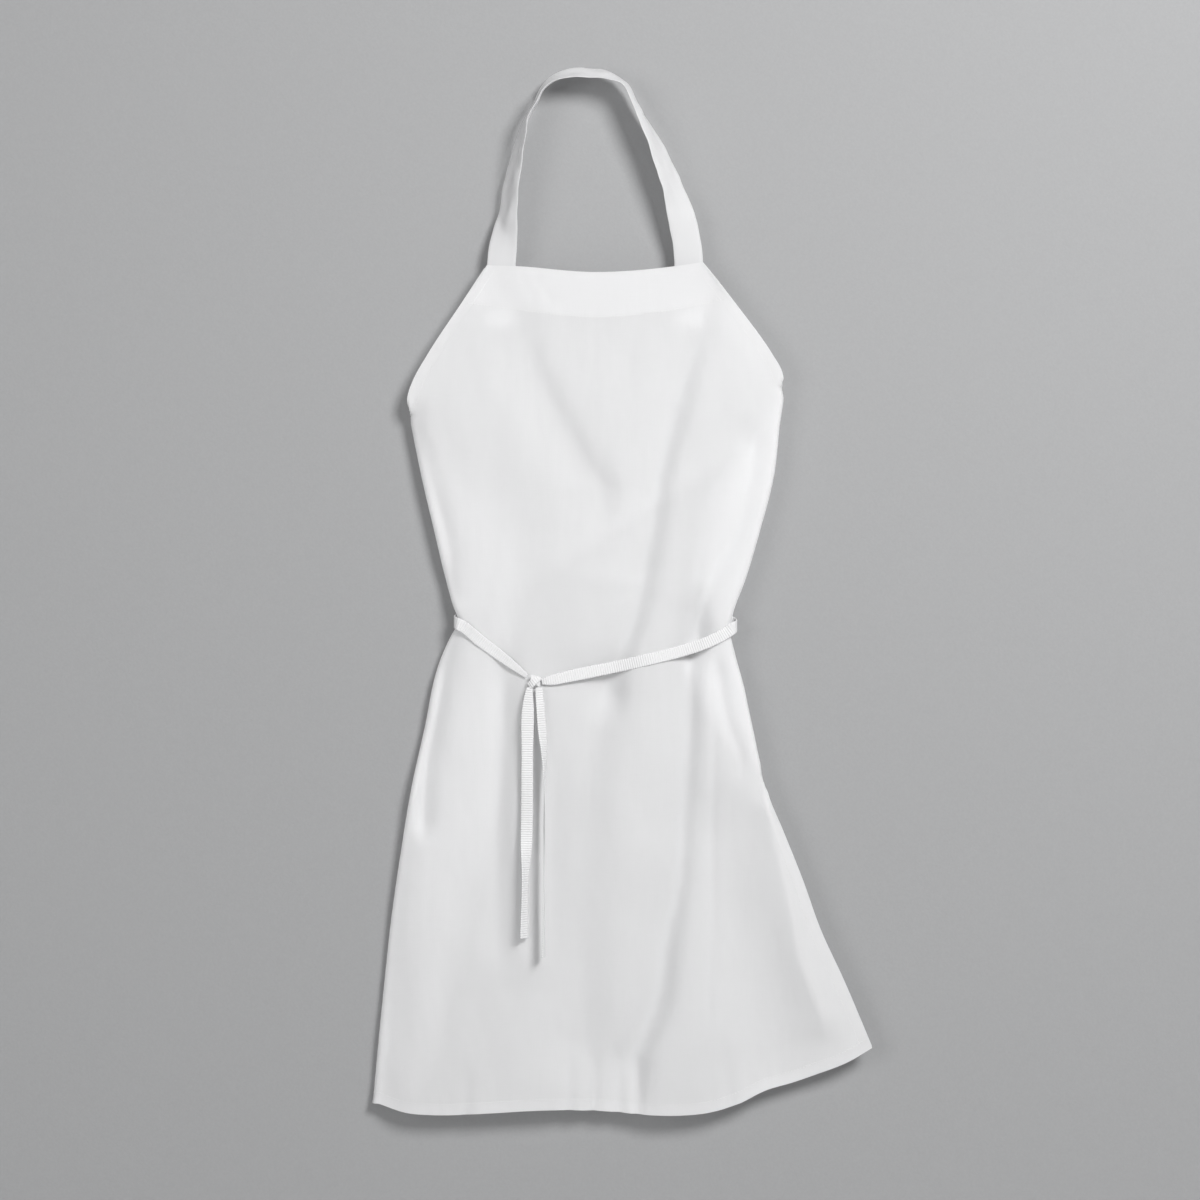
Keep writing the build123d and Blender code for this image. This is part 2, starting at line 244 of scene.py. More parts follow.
def level(v):
    """One line across the cloth, from its left free edge behind, round the front, to its right free edge."""
    z_left = (1 - v) * TOP_EDGE(TOP_X[0]) + v * BOTTOM_EDGE(BOTTOM_X[0])
    z_right = (1 - v) * TOP_EDGE(TOP_X[1]) + v * BOTTOM_EDGE(BOTTOM_X[1])
    x_left, x_right = LEFT_SIDE(z_left), RIGHT_SIDE(z_right)
    flap_left = max(LEFT_FLAP(z_left) - x_left, 0.0)
    flap_right = max(x_right - RIGHT_FLAP(z_right), 0.0)
    r_left, r_right = (ROLL_R * float(smooth(f / ROLL_GROWTH)) for f in (flap_left, flap_right))
    s = np.linspace(0, 1, FRONT_POINTS)
    x = x_left + r_left + (x_right - x_left - r_left - r_right) * s
    top = TOP_EDGE(TOP_X[0] + (TOP_X[1] - TOP_X[0]) * s)
    bottom = BOTTOM_EDGE(BOTTOM_X[0] + (BOTTOM_X[1] - BOTTOM_X[0]) * s)
    z = (1 - v) * top + v * bottom
    front = np.column_stack([x, front_y(x, z), z])
    parts = [front]
    if flap_left > r_left:
        parts.insert(0, rolled(front[0], r_left, flap_left, -1)[::-1])
    if flap_right > r_right:
        parts.append(rolled(front[-1], r_right, flap_right, 1))
    return np.concatenate(parts)


def rolled(edge, r, flap, side):
    """The half turn at a side edge and the flap that follows it behind, waving a little."""
    turn = np.linspace(-math.pi / 2, math.pi / 2, TURN_POINTS)[1:]
    x = edge[0] + side * r * np.cos(turn)
    y = edge[1] + r + r * np.sin(turn)
    along = np.linspace(0, 1, FLAP_POINTS)[1:]
    x = np.concatenate([x, edge[0] - side * along * (flap - r)])
    wave = np.sin(along * 5 + edge[2] * 24) * 1.4 * MM * smooth(along * 3) * smooth(flap / (60 * MM))
    behind = front_y(x[len(turn):], np.full(len(along), edge[2])) + FLAP_GAP * smooth(along * 4)
    settled = 2 * r - (2 * r - FLAP_GAP) * smooth(along * 1.3)
    y = np.concatenate([y, np.maximum(edge[1] + settled + wave, behind)])
    return np.column_stack([x, y, np.full(len(x), edge[2])])


def evenly(line, count):
    """The same line with evenly spaced points."""
    steps = np.linalg.norm(np.diff(line, axis=0), axis=1)
    length = np.concatenate([[0], np.cumsum(steps)])
    places = np.linspace(0, length[-1], count)
    return np.column_stack([np.interp(places, length, line[:, i]) for i in range(3)])


def body_grid():
    """Points of the whole cloth, row by row from the top edge to the bottom edge."""
    grid = np.array([evenly(level(v), COLUMNS) for v in np.linspace(0, 1, ROWS)])
    for _ in range(SOFTENING):
        inner = (grid[:-2, 1:-1] + grid[2:, 1:-1] + grid[1:-1, :-2] + grid[1:-1, 2:]) / 4
        grid[1:-1, 1:-1] = grid[1:-1, 1:-1] * 0.5 + inner * 0.5
    hang = smooth(np.linspace(0, 1, ROWS) / 0.1)
    for row in range(ROWS):
        for column in range(COLUMNS):
            x, _, z = grid[row, column]
            grid[row, column, 1] += wrinkle(x, z) * max(hang[row], WRINKLE_SHARE)
    return grid


def inward(grid):
    """Unit normals of a grid that point to the wrong side of the cloth: back, and inside the rolled edges."""
    across = np.gradient(grid, axis=1)
    down = np.gradient(grid, axis=0)
    normal = np.cross(across, down)
    return normal / np.maximum(np.linalg.norm(normal, axis=2, keepdims=True), 1e-12)


class Cloth:
    """The draped cloth, sampled by row and by distance from an edge."""

    def __init__(self):
        self.points = body_grid()
        self.normals = inward(self.points)
        steps = np.linalg.norm(np.diff(self.points, axis=1), axis=2)
        self.width = steps.sum(axis=1)
        drops = np.linalg.norm(np.diff(self.points, axis=0), axis=2)
        self.drop = np.concatenate([np.zeros((1, COLUMNS)), np.cumsum(drops, axis=0)])

    def sample(self, row, column):
        """Point and normal at fractional row and column."""
        row, column = min(max(row, 0), ROWS - 1.001), min(max(column, 0), COLUMNS - 1.001)
        r, c = int(row), int(column)
        fr, fc = row - r, column - c
        out = []
        for field in (self.points, self.normals):
            upper = field[r, c] * (1 - fc) + field[r, c + 1] * fc
            lower = field[r + 1, c] * (1 - fc) + field[r + 1, c + 1] * fc
            out.append(upper * (1 - fr) + lower * fr)
        return out[0], out[1] / np.linalg.norm(out[1])

    def column_at(self, row, inset, side):
        """Column that lies this far in from the left or the right free edge."""
        r = min(max(int(round(row)), 0), ROWS - 1)
        steps = inset / self.width[r] * (COLUMNS - 1)
        return steps if side < 0 else COLUMNS - 1 - steps

    def row_at(self, column, depth, from_top):
        """Row that lies this far down from the top edge, or up from the bottom edge."""
        drop = self.drop[:, min(int(column), COLUMNS - 1)]
        target = depth if from_top else drop[-1] - depth
        return float(np.interp(target, drop, np.arange(ROWS)))

    def side_strip(self, side, row0, row1, inset0, inset1, across=5):
        """A grid along a free side edge, between two rows and two distances in from the edge."""
        rows = np.linspace(row0, row1, int(row1 - row0) * 2 + 2)
        insets = np.linspace(inset0, inset1, across)
        return self._strip([[(r, self.column_at(r, i, side)) for i in insets] for r in rows])

    def level_strip(self, column0, column1, depth0, depth1, from_top, across=5):
        """A grid along the top or bottom edge, between two columns and two distances from the edge."""
        columns = np.linspace(column0, column1, int(column1 - column0) * 2 + 2)
        depths = np.linspace(depth0, depth1, across)
        return self._strip([[(self.row_at(c, d, from_top), c) for d in depths] for c in columns])

    def _strip(self, places):
        samples = [[self.sample(r, c) for r, c in line] for line in places]
        points = np.array([[p for p, _ in line] for line in samples])
        normals = np.array([[n for _, n in line] for line in samples])
        return points, normals


# ---------------------------------------------------------------- meshes

def add_mesh(name, points, faces, material, body=None):
    mesh = bpy.data.meshes.new(name)
    mesh.from_pydata([tuple(p) for p in points], [], faces)
    mesh.validate()
    mesh.shade_smooth()
    mesh.materials.append(material)
    piece = bpy.data.objects.new(name, mesh)
    bpy.context.collection.objects.link(piece)
    if body:
        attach(piece, body)
    return piece


def grid_faces(rows, columns, start=0, flip=False):
    faces = []
    for r in range(rows - 1):
        for c in range(columns - 1):
            a = start + r * columns + c
            face = (a, a + columns, a + columns + 1, a + 1)
            faces.append(face[::-1] if flip else face)
    return faces


def shell(points, normals, near, far):
    """Points and faces of a closed thin sheet between two distances from a grid of points."""
    rows, columns = points.shape[:2]
    outer = (points + normals * near).reshape(-1, 3)
    inner = (points + normals * far).reshape(-1, 3)
    count = rows * columns
    faces = grid_faces(rows, columns) + grid_faces(rows, columns, count, True)
    rim = list(range(columns)) + [r * columns + columns - 1 for r in range(1, rows)]
    rim += [(rows - 1) * columns + c for c in range(columns - 2, -1, -1)]
    rim += [r * columns for r in range(rows - 2, 0, -1)]
    for a, b in zip(rim, rim[1:] + rim[:1]):
        faces.append((a, b, b + count, a + count))
    return np.concatenate([outer, inner]), faces


def beads(places):
    """Points and faces of sewing stitches at (middle, direction, outward) places."""
    points, faces = [], []
    for middle, direction, outward in places:
        direction = direction / np.linalg.norm(direction)
        side = np.cross(direction, outward)
        side /= max(np.linalg.norm(side), 1e-9)
        start = len(points)
        for t, size in ((-0.5, 0.35), (-0.3, 0.9), (0.0, 1.1), (0.3, 0.9), (0.5, 0.35)):
            for k in range(6):
                angle = math.tau * k / 6
                ring = side * math.cos(angle) + outward * math.sin(angle)
                dip = outward * (0.5 - 2.2 * abs(t)) * STITCH_R
                points.append(middle + direction * (t * STITCH_L) + ring * (size * STITCH_R) + dip)
        for ring in range(4):
            for k in range(6):
                a, b = start + ring * 6 + k, start + ring * 6 + (k + 1) % 6
                faces.append((a, b, b + 6, a + 6))
        faces.append(tuple(start + k for k in range(5, -1, -1)))
        faces.append(tuple(start + 24 + k for k in range(6)))
    return points, faces


def stitch_row(line, normals, lift):
    """Evenly spaced stitches along a line of points, on its front side (against the normals)."""
    steps = np.linalg.norm(np.diff(line, axis=0), axis=1)
    length = np.concatenate([[0], np.cumsum(steps)])
    places = []
    for at in np.arange(STITCH_PITCH, length[-1] - STITCH_PITCH, STITCH_PITCH):
        middle = np.array([np.interp(at, length, line[:, i]) for i in range(3)])
        ahead = np.array([np.interp(at + 0.5 * MM, length, line[:, i]) for i in range(3)])
        normal = np.array([np.interp(at, length, normals[:, i]) for i in range(3)])
        normal /= np.linalg.norm(normal)
        places.append((middle - normal * lift, ahead - middle, -normal))
    return places


def sweep(centres, across, normals, section, caps=True):
    """A closed tube: at each centre, the section's (across, normal) points, given as a list per station."""
    rows, columns = len(centres), len(section[0])
    points = []
    for centre, a, n, ring in zip(centres, across, normals, section):
        points += [centre + a * u + n * w for u, w in ring]
    faces = []
    for r in range(rows - 1):
        for c in range(columns):
            a, b = r * columns + c, r * columns + (c + 1) % columns
            faces.append((a, b, b + columns, a + columns))
    if caps:
        faces.append(tuple(range(columns - 1, -1, -1)))
        faces.append(tuple((rows - 1) * columns + c for c in range(columns)))
    return points, faces


def frames(centres, across):
    """Unit directions across and out of a strap that follows its centre line."""
    tangent = np.gradient(centres, axis=0)
    tangent /= np.linalg.norm(tangent, axis=1, keepdims=True)
    across = across - tangent * np.sum(across * tangent, axis=1, keepdims=True)
    across /= np.linalg.norm(across, axis=1, keepdims=True)
    return across, np.cross(tangent, across)


def resample(stations, step):
    """A smooth run of values through stations whose first three values are a place."""
    stations = np.array(stations, float)
    length = np.concatenate([[0], np.cumsum(np.linalg.norm(np.diff(stations[:, :3], axis=0), axis=1))])
    slopes = np.gradient(stations, length, axis=0)
    count = max(int(length[-1] / step), 8)
    out = []
    for at in np.linspace(0, length[-1], count):
        i = min(int(np.searchsorted(length, at, side="right")) - 1, len(length) - 2)
        h = length[i + 1] - length[i]
        t = (at - length[i]) / h
        left = stations[i] * (1 + 2 * t) * (1 - t) ** 2 + slopes[i] * h * t * (1 - t) ** 2
        right = stations[i + 1] * (3 - 2 * t) * t ** 2 - slopes[i + 1] * h * (1 - t) * t ** 2
        out.append(left + right)
    return np.array(out)


# ---------------------------------------------------------------- materials

THREADS = 900.0  # scale of the weave's noise across its threads, per metre


def node(tree, kind, **inputs):
    made = tree.nodes.new(kind)
    for key, value in inputs.items():
        made.inputs[key.replace("_", " ")].default_value = value
    return made


def woven(name, colour, through, glow):
    """Off-white plain weave: fine uneven threads both ways, a soft sheen, and some light let through.

    glow is the share of the light that comes through scattered, and through the share that passes straight.
    """
    material = bpy.data.materials.new(name)
    material.use_nodes = True
    tree = material.node_tree
    tree.nodes.clear()
    link = tree.links.new
    place = tree.nodes.new("ShaderNodeTexCoord")
    heights = []
    for axis_scale in ((THREADS, 20.0, THREADS * 0.06), (THREADS * 0.06, 20.0, THREADS)):
        mapping = tree.nodes.new("ShaderNodeMapping")
        mapping.inputs["Scale"].default_value = axis_scale
        link(place.outputs["Object"], mapping.inputs["Vector"])
        slub = node(tree, "ShaderNodeTexNoise", Scale=1.0, Detail=3.0, Roughness=0.6)
        link(mapping.outputs["Vector"], slub.inputs["Vector"])
        heights.append(slub.outputs["Fac"])
    weave = tree.nodes.new("ShaderNodeMath")
    weave.operation = "ADD"
    link(heights[0], weave.inputs[0])
    link(heights[1], weave.inputs[1])
    cloud = node(tree, "ShaderNodeTexNoise", Scale=9.0, Detail=4.0, Roughness=0.55)
    link(place.outputs["Object"], cloud.inputs["Vector"])

    tint = tree.nodes.new("ShaderNodeValToRGB")
    tint.color_ramp.elements[0].position, tint.color_ramp.elements[1].position = 0.3, 0.75
    tint.color_ramp.elements[0].color = (*[c * 0.985 for c in colour], 1)
    tint.color_ramp.elements[1].color = (*colour, 1)
    half = tree.nodes.new("ShaderNodeMath")
    half.operation = "MULTIPLY"
    half.inputs[1].default_value = 0.5
    link(weave.outputs[0], half.inputs[0])
    blend = tree.nodes.new("ShaderNodeMix")
    blend.inputs["Factor"].default_value = 0.35
    link(half.outputs[0], blend.inputs["A"])
    link(cloud.outputs["Fac"], blend.inputs["B"])
    link(blend.outputs["Result"], tint.inputs["Fac"])

    bump = node(tree, "ShaderNodeBump", Strength=0.16, Distance=0.00035)
    link(weave.outputs[0], bump.inputs["Height"])
    face = node(tree, "ShaderNodeBsdfPrincipled", Roughness=0.88)
    face.inputs["Sheen Weight"].default_value = 0.12
    face.inputs["Specular IOR Level"].default_value = 0.25
    link(tint.outputs["Color"], face.inputs["Base Color"])
    link(bump.outputs["Normal"], face.inputs["Normal"])

    lit = tree.nodes.new("ShaderNodeBsdfTranslucent")
    link(tint.outputs["Color"], lit.inputs["Color"])
    link(bump.outputs["Normal"], lit.inputs["Normal"])
    mixed = tree.nodes.new("ShaderNodeMixShader")
    mixed.inputs["Fac"].default_value = glow
    link(face.outputs["BSDF"], mixed.inputs[1])
    link(lit.outputs["BSDF"], mixed.inputs[2])
    shader = mixed.outputs["Shader"]
    if through:
        clear = tree.nodes.new("ShaderNodeBsdfTransparent")
        holes = tree.nodes.new("ShaderNodeMapRange")
        holes.inputs["From Min"].default_value, holes.inputs["From Max"].default_value = 0.35, 0.65
        holes.inputs["To Min"].default_value = through * 1.2
        holes.inputs["To Max"].default_value = through * 0.8
        link(half.outputs[0], holes.inputs["Value"])
        mixed = tree.nodes.new("ShaderNodeMixShader")
        link(holes.outputs["Result"], mixed.inputs["Fac"])
        link(shader, mixed.inputs[1])
        link(clear.outputs["BSDF"], mixed.inputs[2])
        shader = mixed.outputs["Shader"]
    out = tree.nodes.new("ShaderNodeOutputMaterial")
    link(shader, out.inputs["Surface"])
    return material


def plain(name, low, high, scale, roughness, strength):
    """A plain finish with a fine grain."""
    material = bpy.data.materials.new(name)
    material.use_nodes = True
    tree = material.node_tree
    face = tree.nodes["Principled BSDF"]
    face.inputs["Roughness"].default_value = roughness
    face.inputs["Specular IOR Level"].default_value = 0.2
    place = tree.nodes.new("ShaderNodeTexCoord")
    grain = node(tree, "ShaderNodeTexNoise", Scale=scale, Detail=5.0, Roughness=0.65)
    tree.links.new(place.outputs["Object"], grain.inputs["Vector"])
    tint = tree.nodes.new("ShaderNodeValToRGB")
    tint.color_ramp.elements[0].color, tint.color_ramp.elements[1].color = (*low, 1), (*high, 1)
    tree.links.new(grain.outputs["Fac"], tint.inputs["Fac"])
    tree.links.new(tint.outputs["Color"], face.inputs["Base Color"])
    bump = node(tree, "ShaderNodeBump", Strength=strength, Distance=0.0004)
    tree.links.new(grain.outputs["Fac"], bump.inputs["Height"])
    tree.links.new(bump.outputs["Normal"], face.inputs["Normal"])
    return material


def one_sided(material):
    """Leaves a backdrop out where it is seen from behind."""
    tree = material.node_tree
    face, out = tree.nodes["Principled BSDF"], tree.nodes["Material Output"]
    side = tree.nodes.new("ShaderNodeNewGeometry")
    clear = tree.nodes.new("ShaderNodeBsdfTransparent")
    mixed = tree.nodes.new("ShaderNodeMixShader")
    tree.links.new(side.outputs["Backfacing"], mixed.inputs["Fac"])
    tree.links.new(face.outputs["BSDF"], mixed.inputs[1])
    tree.links.new(clear.outputs["BSDF"], mixed.inputs[2])
    tree.links.new(mixed.outputs["Shader"], out.inputs["Surface"])


BODY_CLOTH = woven("body_cloth", (0.97, 0.97, 0.975), 0.02, 0.42)
HEM_CLOTH = woven("hem_cloth", (0.76, 0.76, 0.765), 0.0, 0.30)
STRAP_CLOTH = woven("strap_cloth", (0.87, 0.87, 0.875), 0.0, 0.42)
RIBBON = plain("ribbon", (0.72, 0.72, 0.725), (0.77, 0.77, 0.775), 1400.0, 0.42, 0.25)
THREAD = plain("thread", (0.88, 0.88, 0.88), (0.98, 0.98, 0.98), 2600.0, 0.55, 0.2)


# ---------------------------------------------------------------- camera, light and stage

WALL_GAP = 3 * MM
FLOOR_Z = -1.75


def add_camera():
    data = bpy.data.cameras.new("camera")
    data.lens, data.sensor_width = 90, 36
    camera = bpy.data.objects.new("camera", data)
    camera.location = (0.010, -3.0, -0.522)
    camera.rotation_euler = (math.pi / 2, 0, 0)
    bpy.context.collection.objects.link(camera)
    bpy.context.scene.camera = camera


def add_light(name, place, target, size, power):
    data = bpy.data.lights.new(name, "AREA")
    data.shape, data.size, data.energy = "DISK", size, power
    light = bpy.data.objects.new(name, data)
    light.location = place
    light.rotation_euler = (Vector(target) - Vector(place)).to_track_quat("-Z", "Y").to_euler()
    bpy.context.collection.objects.link(light)


def add_stage():
    wall_y = CAD_BOX[1][1] + WALL_GAP
    wall_finish = plain("backdrop", (0.335, 0.337, 0.342), (0.385, 0.387, 0.392), 420.0, 0.95, 0.3)
    one_sided(wall_finish)
    floor_finish = plain("floor", (0.62, 0.62, 0.62), (0.68, 0.68, 0.68), 60.0, 0.8, 0.05)
    wall = [(-3, wall_y, FLOOR_Z), (3, wall_y, FLOOR_Z), (3, wall_y, 2), (-3, wall_y, 2)]
    ground = [(-4, -5, FLOOR_Z), (4, -5, FLOOR_Z), (4, 4, FLOOR_Z), (-4, 4, FLOOR_Z)]
    for name, corners, finish in (("backdrop", wall, wall_finish), ("floor", ground, floor_finish)):
        mesh = bpy.data.meshes.new(name)
        mesh.from_pydata(corners, [], [(0, 1, 2, 3)])
        mesh.materials.append(finish)
        piece = bpy.data.objects.new(name, mesh)
        bpy.context.collection.objects.link(piece)
        piece.visible_shadow = False
    world = bpy.data.worlds.new("soft")
    world.use_nodes = True
    world.node_tree.nodes["Background"].inputs["Color"].default_value = (1, 1, 1, 1)
    world.node_tree.nodes["Background"].inputs["Strength"].default_value = 0.24
    bpy.context.scene.world = world
    add_light("key", (1.25, -2.3, 0.9), (0.0, 0.0, -0.45), 1.1, 79)
    add_light("fill", (-2.2, -2.6, -0.2), (0.0, 0.0, -0.5), 2.0, 27)
    add_light("behind", (-0.6, 2.6, 0.6), (0.0, 0.0, -0.5), 2.0, 8)
    bpy.context.scene.view_settings.view_transform = "Standard"


# ---------------------------------------------------------------- ribbon

def ribbon_section(width, thickness):
    """Outline of a flat ribbon cut across, a little thinner at the two woven edges."""
    half, face, edge = width / 2, thickness / 2, thickness * 0.3
    top = [(-half, -edge), (-half * 0.86, -face), (-half * 0.4, -face), (0.0, -face), (half * 0.4, -face),
           (half * 0.86, -face), (half, -edge)]
    return top + [(u, -w) for u, w in reversed(top)]


def ribbon_mesh(centres, across, widths):
    """A grosgrain ribbon: ribs run across it, and its edges are scalloped by them."""
    across, normal = frames(centres, across)
    length = np.concatenate([[0], np.cumsum(np.linalg.norm(np.diff(centres, axis=0), axis=1))])
    sections = []
    for at, width in zip(length, widths):
        rib = 0.5 + 0.5 * math.cos(math.tau * at / RIB_PITCH)
        sections.append(ribbon_section(width - 0.5 * MM * (1 - rib), RIBBON_T * (0.5 + 2.2 * rib)))
    return sweep(centres, across, normal, sections)


def ribbon(name, stations, body):
    """A ribbon through stations of (x, y, z, across x, y, z, width)."""
    run = resample(stations, RIB_PITCH / 5)
    points, faces = ribbon_mesh(run[:, :3], run[:, 3:6], run[:, 6])
    return add_mesh(name, points, faces, RIBBON, body)


def waist_tie(node_name, behind, edge, front, back_y):
    """A ribbon sewn to an armhole corner that runs behind, round a side at the waist, to the knot.

    behind has (x, z), edge has (x, z, side) and front has (x, z, width), all in millimetres.
    """
    up = (0, 0, 1)
    stations = [(x * MM, back_y, z * MM, *up, RIBBON_W) for x, z in behind]
    x, z, side = edge
    front_y_here = in_front(front[0][0] * MM, front[0][1] * MM)
    middle, reach = (back_y + front_y_here) / 2, (back_y - front_y_here) / 2
    for i in range(7):
        t = math.pi / 2 - math.pi * i / 6
        place = ((x + side * 3.4 * math.cos(t)) * MM, middle + reach * math.sin(t), (z - 0.8 * i) * MM)
        stations.append((*place, *up, RIBBON_W))
    for x, z, width in front:
        stations.append((x * MM, in_front(x * MM, z * MM), z * MM, *up, width * MM))
    piece = ribbon(node_name + "_ribbon", stations, "bib")
    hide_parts(node_name)


def cord_line(name, route):
    """Points of the smooth line whose control points are the route."""
    data = bpy.data.curves.new(name, "CURVE")
    data.dimensions = "3D"
    data.resolution_u = 24
    spline = data.splines.new("NURBS")
    spline.points.add(len(route) - 1)
    for point, place in zip(spline.points, route):
        point.co = (*place, 1)
    spline.order_u = 3
    spline.use_endpoint_u = True
    line = bpy.data.objects.new(name, data)
    mesh = bpy.data.meshes.new_from_object(line)
    points = np.array([v.co for v in mesh.vertices], float)
    bpy.data.objects.remove(line)
    bpy.data.meshes.remove(mesh)
    return points


def tail(name, route, turns, widths):
    """A free ribbon end. turns and widths are (distance from the knot, degrees) and (distance, width).

    Its node and its body have the same name.
    """
    path = cord_line(name + "_line", [tuple(c * MM for c in place) for place in route])
    run = resample(path, RIB_PITCH / 5)
    length = np.concatenate([[0], np.cumsum(np.linalg.norm(np.diff(run, axis=0), axis=1))])
    turn = np.radians(curve(turns)(length) / MM)
    across = np.column_stack([np.cos(turn), np.sin(turn), np.zeros(len(turn))])
    points, faces = ribbon_mesh(run, across, curve(widths)(length))
    piece = add_mesh(name + "_ribbon", points, faces, RIBBON, name)
    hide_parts(name)


# ---------------------------------------------------------------- pieces

add_camera()
add_stage()

# The two free tails, with the same routes as the CAD part's tails
tail("tail_left",
     [(-60, TAIL_Y, -609), (-62, TAIL_Y, -622), (-62.5, TAIL_Y, -680), (-63, TAIL_Y, -765),
      (-64.5, TAIL_Y - 2, -800), (-65.5, TAIL_Y - 2, -859)],
     [(0, 0), (60, 4), (150, 8), (175, 45), (250, 52)],
     [(0, 6), (14, 10.5), (70, 11.6), (250, 12)])
tail("tail_right",
     [(-51, TAIL_Y, -609), (-49.5, TAIL_Y, -625), (-47.5, TAIL_Y, -652), (-45.5, TAIL_Y - 3, -672),
      (-45, TAIL_Y - 5.5, -700), (-45.5, TAIL_Y - 5.5, -807), (-46, TAIL_Y - 5.5, -877)],
     [(0, 0), (16, 25), (44, 40), (64, 62), (92, 84), (200, 88), (268, 74)],
     [(0, 7), (16, 9), (44, 11), (64, 12), (268, 12)])

# The two ribbons that run from the armhole corners behind, round the waist, to the knot
INNER_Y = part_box("tie_tack_left")[0][1] - 0.65 * MM
OUTER_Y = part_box("tie_tack_right")[0][1] - 0.65 * MM
waist_tie("waist_tie_left",
          [(-90, -436), (-75, -456), (-50, -479), (-16, -493), (10, -498), (60, -506), (105, -528),
           (132, -541)],
          (143.5, -545, 1),
          [(136, -555, 12), (118, -564, 12), (95, -572, 12), (60, -581, 12), (20, -590, 12), (-20, -598, 12),
           (-38, -602, 10), (-48, -603.5, 6)], INNER_Y)
waist_tie("waist_tie_right",
          [(166, -352), (150, -364), (100, -402), (50, -432), (0, -462), (-50, -494), (-100, -526)],
          (-132.5, -541, -1),
          [(-128, -548, 12), (-112, -561, 12), (-92, -576, 11), (-76, -588, 8.5), (-63, -598, 5)], OUTER_Y)


def knot():
    """A small flat knot: one ribbon wound once around the crossing, and the other folded over it."""
    turns = np.linspace(0, math.tau, 60)
    wide, deep = 4.4 * MM, 3.2 * MM
    lean = math.radians(-20)
    sideways = wide * np.cos(turns) * math.sin(lean) * 0.6
    line = np.column_stack([sideways, -deep * np.cos(turns), wide * np.sin(turns)])
    across = np.tile((math.cos(lean), 0.0, math.sin(lean)), (len(turns), 1))
    sections = [ribbon_section(7.0 * MM + 0.9 * MM * math.sin(2 * t), RIBBON_T * 2.0) for t in turns]
    across, normal = frames(line, across)
    points, faces = sweep(line + KNOT_MIDDLE, across, normal, sections, caps=False)
    # the last station is the first one again, so the one before it is joined to the first
    size = len(sections[0])
    last = (len(turns) - 1) * size
    faces = [f for f in faces if max(f) < last]
    faces += [(last - size + c, last - size + (c + 1) % size, (c + 1) % size, c) for c in range(size)]
    wrap = add_mesh("knot_wrap", points[:last], faces, RIBBON, "bib")
    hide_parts("knot")
    over = []
    for t in np.linspace(-1, 1, 24):
        place = KNOT_MIDDLE + np.array([t * 5.4 - 0.6, -(1.2 + 2.8 * math.cos(t * 1.4)), t * 4.2 - 0.6]) * MM
        over.append((*place, 0.5, 0, -0.9 + 0.5 * t, (6.4 - 1.6 * t) * MM))
    ribbon("knot_over", over, "bib")


knot()


def bend_at_waist(piece):
    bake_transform(piece)


def hem(name, strip, layer, nodes, body_name=None):
    """Cloth on the wrong side of the body cloth. If it has no body of its own, its transform is baked into
    its mesh.
    """
    points, faces = shell(*strip, *layer)
    piece = add_mesh(name, points, faces, HEM_CLOTH, body_name)
    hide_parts(*nodes)
    if body_name is None:
        bend_at_waist(piece)


def stitches(name, strip, body_name=None):
    """Topstitching along the inner edge of a hem, on the right side of the cloth."""
    points, faces = beads(stitch_row(strip[0][:, -1], strip[1][:, -1], STITCH_LIFT))
    piece = add_mesh(name, points, faces, THREAD, body_name)
    if body_name is None:
        bend_at_waist(piece)


# The cloth itself, and everything sewn to it
cloth = Cloth()
body = add_mesh("body_cloth", cloth.points.reshape(-1, 3), grid_faces(ROWS, COLUMNS),
                BODY_CLOTH)
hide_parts("bib_panel", "skirt_panel")
bend_at_waist(body)

facing = cloth.level_strip(2.5, COLUMNS - 3.5, 0.0, FACING_W, True, 13)
hem("facing", facing, FIRST_LAYER, ["bib_facing"], "bib")
stitches("facing_stitches", facing, "bib")

bottom = cloth.level_strip(0.5, COLUMNS - 1.5, 0.0, HEM_W, False)
hem("bottom_hem_fold", bottom, FIRST_LAYER, ["bottom_hem"], "skirt")
stitches("bottom_hem_stitches", bottom, "skirt")

# The side hems are the second layer, since they pass over the ends of the facing and of the bottom hem
for side_name, side in (("left", -1), ("right", 1)):
    edge = cloth.side_strip(side, 1, ROWS - 2, 0.0, HEM_W)
    nodes = [part + side_name for part in ("armhole_hem_", "bib_side_hem_", "skirt_side_hem_")]
    hem(side_name + "_edge_hem", edge, SECOND_LAYER, nodes)
    stitches(side_name + "_edge_stitches", edge)


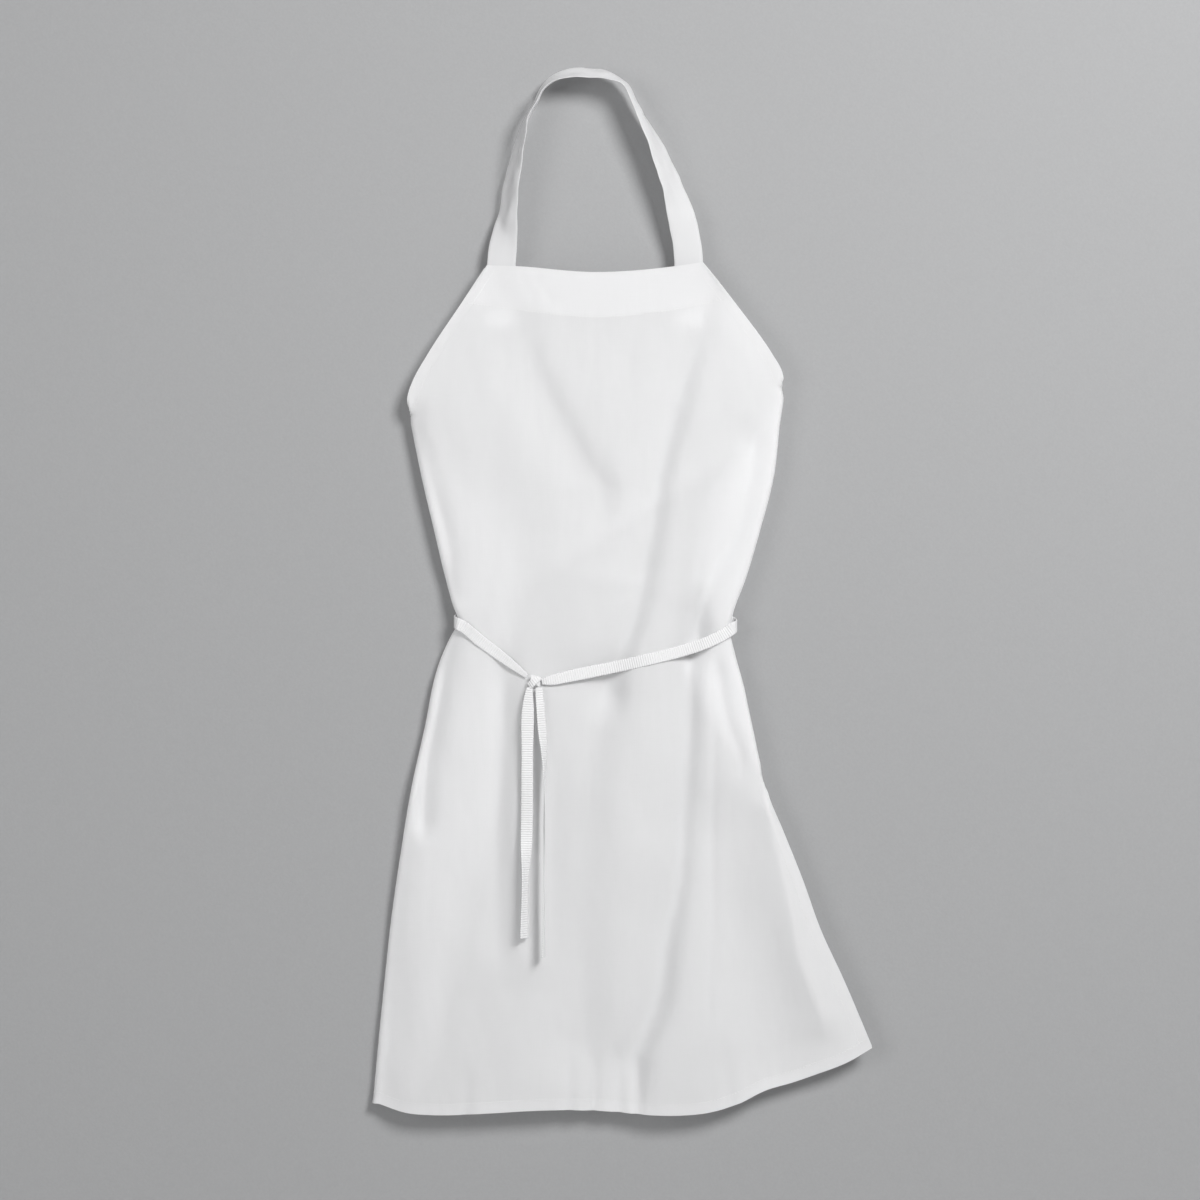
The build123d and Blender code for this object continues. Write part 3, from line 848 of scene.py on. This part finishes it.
def strap():
    """The neck strap: a folded cloth band, face-on where it is sewn and almost edge-on at the shoulders."""
    route = [  # x, z, degrees that it turns out of the front plane
        (-89, -250, 0), (-89, -220, 0), (-89, -190, 0), (-88, -176, 6), (-83, -139, 43), (-77, -96, 55),
        (-71, -72, 63), (-62, -38, 80), (-54, -24, 84), (-47, -11, 80), (-36, 0, 72), (-20, 5, 66),
        (2, 6, 65), (22, 2, 70), (34, -5, 80), (47, -28, 76), (59, -52, 64), (69, -74, 52),
        (83, -111, 38), (92, -141, 16), (98, -172, 3), (99, -190, 0), (99, -220, 0), (99, -250, 0)]
    sewn_y = (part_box("strap_end_left")[0][1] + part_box("strap_end_left")[1][1]) / 2
    stations = []
    for i, (x, z, turn) in enumerate(route):
        ends = min(i, len(route) - 1 - i)
        stations.append((x * MM, sewn_y * (1 - smooth((ends - 2) / 5)), z * MM, turn))
    run = resample(stations, STRAP_STEP)
    centres, turns = run[:, :3], np.radians(run[:, 3])
    tangent = np.gradient(centres, axis=0)
    outward = np.column_stack([-tangent[:, 2], np.zeros(len(run)), tangent[:, 0]])
    outward /= np.linalg.norm(outward, axis=1, keepdims=True)
    across = outward * np.cos(turns)[:, None] + np.array([0, 1, 0]) * np.sin(turns)[:, None]
    across, normal = frames(centres, across)
    places = np.linspace(-1, 1, 15)  # over its width, from one edge to the other
    halves = [STRAP_T / 2 * (1 - 0.55 * abs(t) ** 6) for t in places]
    rim = 0.35 * MM
    sections = []
    for i, angle in enumerate(turns):
        # the sewn ends are flat, and the creases grow where the strap leaves the bib
        free = float(smooth((min(i, len(run) - 1 - i) - 26) / 24))
        slack = 1 + 0.05 * free * noise.noise(Vector((i * 0.16, 0, 9)))
        middle = []
        for t in places:
            crease = noise.noise(Vector((i * 0.13, t * 1.3, 4))) * 1.3 * free
            fold = 1.2 * math.sin(t * 2.6 + i * 0.05) * free * abs(math.sin(angle))
            middle.append((t * slack * STRAP_W / 2, (crease + fold) * MM))
        top = [(u, w - half) for (u, w), half in zip(middle, halves)]
        under = [(u, w + half) for (u, w), half in zip(middle, halves)]
        right = [(middle[-1][0] + rim, middle[-1][1])]
        left = [(middle[0][0] - rim, middle[0][1])]
        sections.append(top + right + under[::-1] + left)
    points, faces = sweep(centres, across, normal, sections)
    piece = add_mesh("neck_strap_band", points, faces, STRAP_CLOTH)
    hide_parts("neck_strap", "strap_end_left", "strap_end_right")
    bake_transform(piece)


strap()


def tack(node_name):
    """A square of stitches with a diagonal over a sewn end, at the front of its CAD plate."""
    low, high = (np.array(corner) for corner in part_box(node_name))
    size = high - low
    y = low[1] - STITCH_LIFT
    corners = [(0.08, 0.1), (0.92, 0.1), (0.92, 0.9), (0.08, 0.9), (0.08, 0.1), (0.92, 0.9)]
    places = []
    for (u0, w0), (u1, w1) in zip(corners, corners[1:]):
        start = np.array([low[0] + u0 * size[0], y, low[2] + w0 * size[2]])
        end = np.array([low[0] + u1 * size[0], y, low[2] + w1 * size[2]])
        count = max(int(np.linalg.norm(end - start) / (2.6 * MM)), 1)
        for k in range(count):
            places.append((start + (end - start) * (k + 0.5) / count, end - start, np.array([0.0, 1.0, 0.0])))
    points, faces = beads(places)
    piece = add_mesh(node_name + "_thread", points, faces, THREAD, "bib")
    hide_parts(node_name)


for node_name in ("strap_tack_left", "strap_tack_right", "tie_tack_left", "tie_tack_right"):
    tack(node_name)
